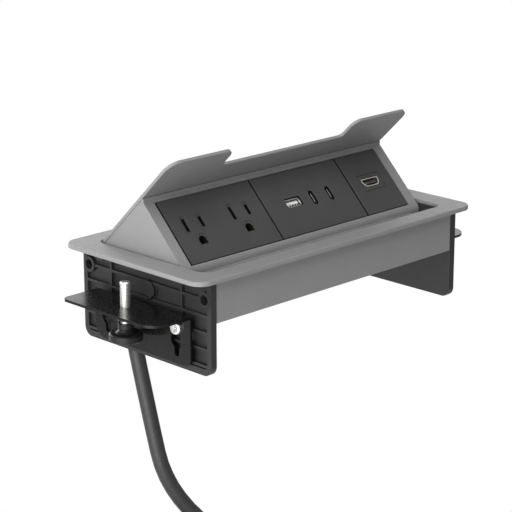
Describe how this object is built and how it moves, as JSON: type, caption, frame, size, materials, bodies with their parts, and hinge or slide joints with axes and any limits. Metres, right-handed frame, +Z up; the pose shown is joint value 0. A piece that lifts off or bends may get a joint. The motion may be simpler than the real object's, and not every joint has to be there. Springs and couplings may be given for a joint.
{
  "type": "in-desk power module",
  "caption": "Tilting in-desk power module with mains outlets, charging ports and a video port in a flush desk frame with clamp brackets.",
  "frame": {"origin": "centre of the frame opening on the underside of the flange, where the flange rests on the desk top", "axes": "+Z up out of the desk, +X from the outlets to the video port along the long side, +Y to the hinge side"},
  "size_m": [0.2882, 0.1194, 0.422],
  "materials": {
    "grey_paint": "satin grey paint on aluminium",
    "black_moulding": "fine moulded black plastic",
    "black_steel": "semi-gloss black coating on steel",
    "bright_steel": "zinc plated steel",
    "face_plastic": "fine-grained dark grey plastic",
    "port_metal": "plated port shell",
    "port_plastic": "black port tongue",
    "contact_brass": "plain brass",
    "board": "green circuit board",
    "cord_jacket": "black flexible cord jacket",
    "tie_fabric": "black hook-and-loop strap"
  },
  "bodies": {
    "housing": {"top_frame": "grey_paint", "front_panel": "grey_paint", "rear_panel": "grey_paint", "end_plate_left": "black_moulding", "end_plate_right": "black_moulding", "end_plate_screws": "black_steel", "clamp_bracket_left": "black_steel", "clamp_bracket_right": "black_steel", "bracket_screws": "bright_steel", "weld_nut_left": "black_steel", "weld_nut_right": "black_steel", "cord_clamp": "black_moulding", "cord_clamp_screw": "bright_steel", "strain_relief": "cord_jacket", "inner_lead": "cord_jacket", "supply_cord": "cord_jacket", "cord_tail": "cord_jacket", "cord_coil": "cord_jacket", "coil_tie": "tie_fabric", "plug_body": "cord_jacket", "plug_blades": "contact_brass", "plug_ground_pin": "contact_brass"},
    "module": {"lid": "grey_paint", "cheek_left": "grey_paint", "cheek_right": "grey_paint", "module_shell": "grey_paint", "top_bezel": "grey_paint", "module_screws": "black_steel", "hinge_pins": "bright_steel", "outlet_plate": "face_plastic", "outlet_housing": "black_moulding", "neutral_contacts": "contact_brass", "line_contacts": "contact_brass", "ground_contacts": "contact_brass", "charging_plate": "face_plastic", "port_a_shell": "port_metal", "port_a_tongue": "port_plastic", "port_c_shells": "port_metal", "port_c_tongues": "port_plastic", "charging_board": "board", "video_plate": "face_plastic", "video_insert": "face_plastic", "video_shell": "port_metal", "video_tongue": "port_plastic"},
    "clamp_ring_left": {"clamp_collar_left": "black_steel"},
    "clamp_ring_right": {"clamp_collar_right": "black_steel"},
    "clamp_screw_left": {"clamp_screw_left": "bright_steel", "clamp_knob_left": "black_moulding"},
    "clamp_screw_right": {"clamp_screw_right": "bright_steel", "clamp_knob_right": "black_moulding"}
  },
  "joints": [
    {"name": "module_tilt", "type": "hinge", "parent": "housing", "child": "module", "pos_m": [0, 0.04087, -0.0027], "axis": [1, 0, 0], "range_deg": [0, 44.4], "deforming": ["inner_lead"]},
    {"name": "clamp_travel_left", "type": "slide", "parent": "housing", "child": "clamp_ring_left", "axis": [0, 0, 1], "range_m": [-0.016, 0.0015]},
    {"name": "clamp_turn_left", "type": "hinge", "parent": "clamp_ring_left", "child": "clamp_screw_left", "pos_m": [-0.1232, 0, -0.03], "axis": [0, 0, 1], "range_deg": [-5760, 540]},
    {"name": "clamp_travel_right", "type": "slide", "parent": "housing", "child": "clamp_ring_right", "axis": [0, 0, 1], "range_m": [-0.016, 0.0015]},
    {"name": "clamp_turn_right", "type": "hinge", "parent": "clamp_ring_right", "child": "clamp_screw_right", "pos_m": [0.1232, 0, -0.03], "axis": [0, 0, 1], "range_deg": [-5760, 540]}
  ],
  "couplings": [
    {"joint": "clamp_travel_left", "follows": "clamp_turn_left", "m_per_rad": 0.00015915},
    {"joint": "clamp_travel_right", "follows": "clamp_turn_right", "m_per_rad": 0.00015915}
  ]
}
